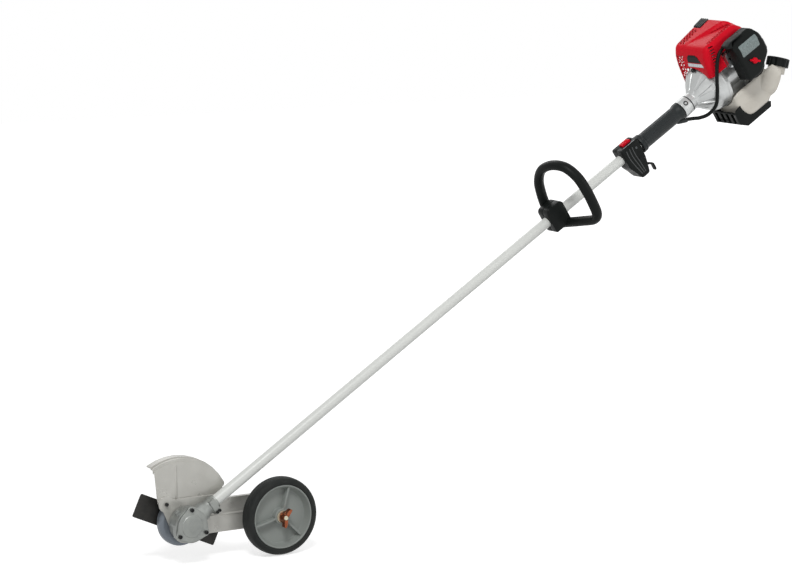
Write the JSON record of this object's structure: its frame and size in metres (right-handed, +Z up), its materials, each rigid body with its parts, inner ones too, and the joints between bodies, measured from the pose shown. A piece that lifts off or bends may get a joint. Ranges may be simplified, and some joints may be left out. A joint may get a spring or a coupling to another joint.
{
  "type": "petrol lawn edger",
  "caption": "Straight-shaft petrol lawn edger: vertical cutter blade under a pressed guard, guide wheel, loop handle, trigger housing and rear-mounted engine.",
  "frame": {"origin": "centre of the bounding box at ground level, under the tyre's lowest point", "axes": "+X from the cutting head towards the engine, +Y from the wheel side towards the blade side, +Z up"},
  "size_m": [1.6106, 0.1956, 1.0805],
  "materials": {
    "pale": "satin pale grey enamel",
    "cast": "die-cast aluminium, matt",
    "guardgrey": "warm grey paint, satin",
    "bluegrey": "blue-grey paint, satin",
    "steel": "plain steel",
    "zinc": "zinc-plated steel",
    "bladeblack": "black paint over hardened steel, satin",
    "tyre": "black rubber, matt",
    "rim": "grey moulded plastic",
    "copper": "copper-coloured plating",
    "black": "black moulded plastic",
    "grip": "dark grey ribbed rubber",
    "red": "red moulded plastic, semi-gloss",
    "silver": "silver die-cast aluminium",
    "tank": "milky blow-moulded plastic",
    "iron": "dark sintered iron",
    "bushing": "dark damping rubber",
    "foam": "grey filter foam",
    "screw": "black-oxide steel",
    "spacer": "brown phenolic"
  },
  "bodies": {
    "frame": {"blade_guard": "guardgrey", "wheel_bracket": "guardgrey", "dust_cup": "bluegrey", "throttle_conduit": "black", "clutch_housing": "silver", "crankcase": "silver", "cylinder": "silver", "spark_plug": "zinc", "muffler": "iron", "engine_cover": "red", "muffler_cage": "red", "heat_guard": "black", "heat_block": "spacer", "carburettor": "steel", "air_cleaner_base": "black", "filter_element": "foam", "fuel_tank": "tank", "tank_guard": "black", "starter_housing": "black", "gearcase_body": "cast", "gearcase_cover": "cast", "cover_screw_top": "screw", "cover_screw_front": "screw", "cover_screw_rear": "screw", "shaft_tube": "pale", "shaft_bush_lower": "bushing", "shaft_bush_upper": "bushing", "pinion_bearing": "steel", "arbor_bearing": "steel", "control_housing_near": "black", "control_housing_far": "black", "rear_grip": "grip"},
    "loop": {"loop_handle": "black", "loop_clamp": "black"},
    "drive": {"drive_shaft": "steel", "bevel_pinion": "steel", "clutch_drum": "steel"},
    "cutter": {"arbor_shaft": "steel", "bevel_gear": "steel", "inner_flange": "iron", "blade": "bladeblack", "outer_flange": "iron", "blade_nut": "zinc"},
    "crank": {"crankshaft": "steel", "clutch_shoes": "iron", "flywheel": "silver"},
    "axle": {"axle_bolt": "zinc", "axle_sleeve": "steel", "wheel_washer": "zinc"},
    "wheel": {"wheel_rim": "rim", "tyre": "tyre"},
    "wing": {"wing_nut": "copper"},
    "trigger": {"throttle_trigger": "black"},
    "switch": {"stop_switch": "red"},
    "choke": {"choke_lever": "screw"},
    "air_cover": {"air_cleaner_cover": "black"},
    "knob": {"cover_knob": "red"},
    "gasket": {"cap_gasket": "tyre"},
    "cap": {"fuel_cap": "black"},
    "pull": {"starter_handle": "black"}
  },
  "joints": [
    {"name": "handle_slide", "type": "slide", "parent": "frame", "child": "loop", "axis": [0.842, 0, 0.5395], "range_m": [-0.25, 0.12]},
    {"name": "cutter_spin", "type": "hinge", "parent": "frame", "child": "cutter", "pos_m": [-0.70318, 0.0185, 0.0866], "axis": [0, 1, 0], "continuous": true},
    {"name": "drive_spin", "type": "hinge", "parent": "frame", "child": "drive", "pos_m": [-0.70318, 0.0185, 0.0866], "axis": [0.842, 0, 0.5395], "continuous": true},
    {"name": "crank_spin", "type": "hinge", "parent": "frame", "child": "crank", "pos_m": [0.64399, 0.0185, 0.94981], "axis": [0.842, 0, 0.5395], "continuous": true},
    {"name": "wheel_height", "type": "slide", "parent": "frame", "child": "axle", "axis": [0, 0, 1], "range_m": [-0.015, 0.022]},
    {"name": "wheel_spin", "type": "hinge", "parent": "axle", "child": "wheel", "pos_m": [-0.49568, 0.0185, 0.0825], "axis": [0, 1, 0], "continuous": true},
    {"name": "wing_nut_turn", "type": "hinge", "parent": "axle", "child": "wing", "pos_m": [-0.49568, 0.0185, 0.0825], "axis": [0, 1, 0], "continuous": true},
    {"name": "trigger_squeeze", "type": "hinge", "parent": "frame", "child": "trigger", "pos_m": [0.42867, 0.0185, 0.76315], "axis": [0, -1, 0], "range_deg": [0, 16], "stiffness_Nm_per_rad": 0.3, "springref_deg": -22.92},
    {"name": "stop_slide", "type": "slide", "parent": "frame", "child": "switch", "axis": [0.842, 0, 0.5395], "range_m": [0, 0.005]},
    {"name": "choke_turn", "type": "hinge", "parent": "frame", "child": "choke", "pos_m": [0.63917, -0.0535, 1.02035], "axis": [0, 1, 0], "range_deg": [0, 55]},
    {"name": "air_cover_slide", "type": "slide", "parent": "frame", "child": "air_cover", "axis": [0, -1, 0], "range_m": [0, 0.045]},
    {"name": "cover_knob_turn", "type": "hinge", "parent": "air_cover", "child": "knob", "pos_m": [0.65505, -0.0915, 0.99371], "axis": [0, 1, 0], "range_deg": [-90, 0]},
    {"name": "cap_lift", "type": "slide", "parent": "frame", "child": "gasket", "axis": [0.2309, 0, 0.973], "range_m": [0, 0.006]},
    {"name": "cap_turn", "type": "hinge", "parent": "gasket", "child": "cap", "pos_m": [0.77709, -0.0195, 0.97749], "axis": [0.2309, 0, 0.973], "range_deg": [0, 540]},
    {"name": "starter_pull", "type": "slide", "parent": "frame", "child": "pull", "axis": [0, 1, 0], "range_m": [0, 0.7], "stiffness_N_per_m": 8, "springref_m": -0.4}
  ],
  "couplings": [
    {"joint": "drive_spin", "follows": "cutter_spin", "ratio": 1.9},
    {"joint": "cap_turn", "follows": "cap_lift", "rad_per_m": 1570.8}
  ]
}
